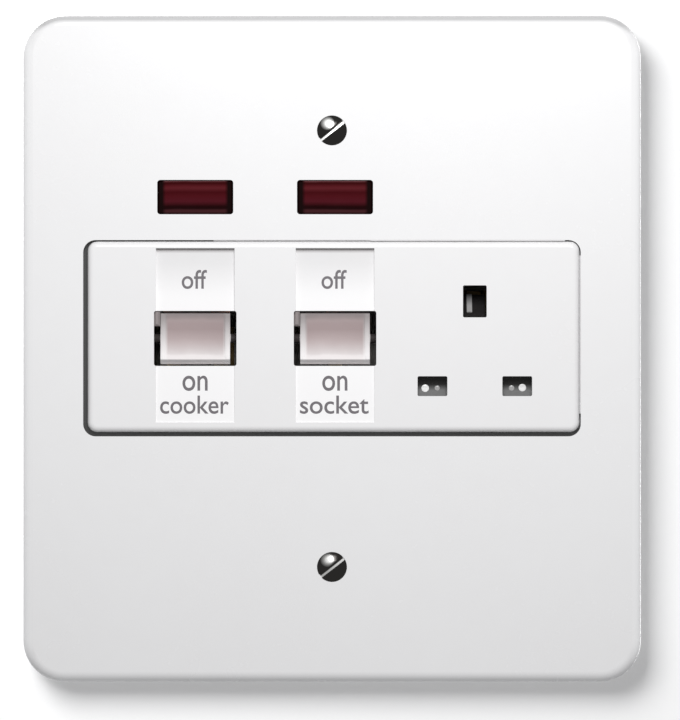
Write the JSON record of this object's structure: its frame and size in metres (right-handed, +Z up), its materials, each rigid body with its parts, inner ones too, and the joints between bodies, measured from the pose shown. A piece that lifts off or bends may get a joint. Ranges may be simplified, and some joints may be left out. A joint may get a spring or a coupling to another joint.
{
  "type": "cooker control unit",
  "caption": "Flush white cooker control unit with a double-pole cooker switch, a switched shuttered socket outlet, neon indicators and its rear base with terminals.",
  "frame": {"origin": "midway between the two fixing screws, in the wall plane that the plate's rear rim rests on", "axes": "+X to the right as seen from the room, +Y into the wall, +Z up"},
  "size_m": [0.1618, 0.0401, 0.1746],
  "materials": {
    "white_moulding": "gloss white urea moulding",
    "rocker_moulding": "gloss white moulding, slightly yellowed by use",
    "base_moulding": "matt pale grey thermoset moulding",
    "shutter_moulding": "dark grey moulding",
    "plunger_moulding": "natural acetal",
    "red_lens": "dark red transparent lens, unlit",
    "lamp_glass": "clear lamp glass",
    "resistor_body": "lacquered ceramic",
    "plated_steel": "bright nickel plating",
    "spring_steel": "drawn steel wire",
    "brass": "stamped and drilled brass, unpolished",
    "copper": "half-hard copper strip",
    "silver": "silver alloy contact",
    "fibre": "red vulcanised fibre"
  },
  "bodies": {
    "root": {"base_housing": "base_moulding", "captive_washers": "fibre", "contact_rivets": "brass", "cooker_live_strip": "brass", "cooker_live_terminal": "brass", "cooker_neon_holder": "base_moulding", "cooker_neon_lamp": "lamp_glass", "cooker_neon_lens": "red_lens", "cooker_neon_resistor": "resistor_body", "cooker_neutral_strip": "brass", "cooker_neutral_terminal": "brass", "earth_terminal": "brass", "fixed_tips": "silver", "fixing_screws": "plated_steel", "front_plate": "white_moulding", "housing_screws": "plated_steel", "insert_panel": "white_moulding", "neutral_link": "copper", "shutter_cover": "white_moulding", "shutter_cover_screws": "plated_steel", "socket_earth_contact": "brass", "socket_live_contact": "brass", "socket_neon_holder": "base_moulding", "socket_neon_lamp": "lamp_glass", "socket_neon_lens": "red_lens", "socket_neon_resistor": "resistor_body", "socket_neutral_contact": "brass", "socket_switch_strip": "brass", "supply_live_busbar": "brass", "supply_live_terminal": "brass", "supply_neutral_strip": "brass", "supply_neutral_terminal": "brass", "switched_live_link": "copper", "terminal_screws": "plated_steel"},
    "cooker_rocker": {"cooker_rocker": "rocker_moulding", "cooker_live_spring": "spring_steel", "cooker_neutral_spring": "spring_steel"},
    "cooker_live_plunger": {"cooker_live_plunger": "plunger_moulding"},
    "cooker_neutral_plunger": {"cooker_neutral_plunger": "plunger_moulding"},
    "socket_rocker": {"socket_rocker": "rocker_moulding", "socket_live_spring": "spring_steel"},
    "socket_live_plunger": {"socket_live_plunger": "plunger_moulding"},
    "cooker_live_arm": {"cooker_live_arm": "copper", "cooker_live_tip": "silver"},
    "cooker_neutral_arm": {"cooker_neutral_arm": "copper", "cooker_neutral_tip": "silver"},
    "socket_live_arm": {"socket_live_arm": "copper", "socket_live_tip": "silver"},
    "shutter": {"shutter": "shutter_moulding", "shutter_spring": "spring_steel"}
  },
  "joints": [
    {"name": "cooker_rocker", "type": "hinge", "parent": "root", "child": "cooker_rocker", "pos_m": [-0.0358, -0.0061, 0.0027], "axis": [1, 0, 0], "range_deg": [0, 18]},
    {"name": "socket_rocker", "type": "hinge", "parent": "root", "child": "socket_rocker", "pos_m": [0.0008, -0.0061, 0.0027], "axis": [1, 0, 0], "range_deg": [0, 18]},
    {"name": "cooker_live_plunger", "type": "slide", "parent": "cooker_rocker", "child": "cooker_live_plunger", "axis": [0, -0.9877, 0.1564], "range_m": [0, 0.0005], "stiffness_N_per_m": 500, "springref_m": -0.004, "deforming": ["cooker_live_spring"]},
    {"name": "cooker_neutral_plunger", "type": "slide", "parent": "cooker_rocker", "child": "cooker_neutral_plunger", "axis": [0, -0.9877, 0.1564], "range_m": [0, 0.0005], "stiffness_N_per_m": 500, "springref_m": -0.004, "deforming": ["cooker_neutral_spring"]},
    {"name": "socket_live_plunger", "type": "slide", "parent": "socket_rocker", "child": "socket_live_plunger", "axis": [0, -0.9877, 0.1564], "range_m": [0, 0.0005], "stiffness_N_per_m": 500, "springref_m": -0.004, "deforming": ["socket_live_spring"]},
    {"name": "cooker_live_arm", "type": "hinge", "parent": "root", "child": "cooker_live_arm", "pos_m": [-0.0295, 0.01065, 0.0027], "axis": [1, 0, 0], "range_deg": [-12, 0]},
    {"name": "cooker_neutral_arm", "type": "hinge", "parent": "root", "child": "cooker_neutral_arm", "pos_m": [-0.0421, 0.01065, 0.0027], "axis": [1, 0, 0], "range_deg": [-12, 0]},
    {"name": "socket_live_arm", "type": "hinge", "parent": "root", "child": "socket_live_arm", "pos_m": [0.0008, 0.01065, 0.0027], "axis": [1, 0, 0], "range_deg": [-12, 0]},
    {"name": "shutter", "type": "slide", "parent": "root", "child": "shutter", "axis": [0, 0, -1], "range_m": [0, 0.0058], "stiffness_N_per_m": 60, "springref_m": -0.01, "deforming": ["shutter_spring"]}
  ],
  "couplings": [
    {"joint": "cooker_live_arm", "follows": "cooker_rocker", "ratio": -0.66667},
    {"joint": "cooker_neutral_arm", "follows": "cooker_rocker", "ratio": -0.66667},
    {"joint": "socket_live_arm", "follows": "socket_rocker", "ratio": -0.66667}
  ]
}
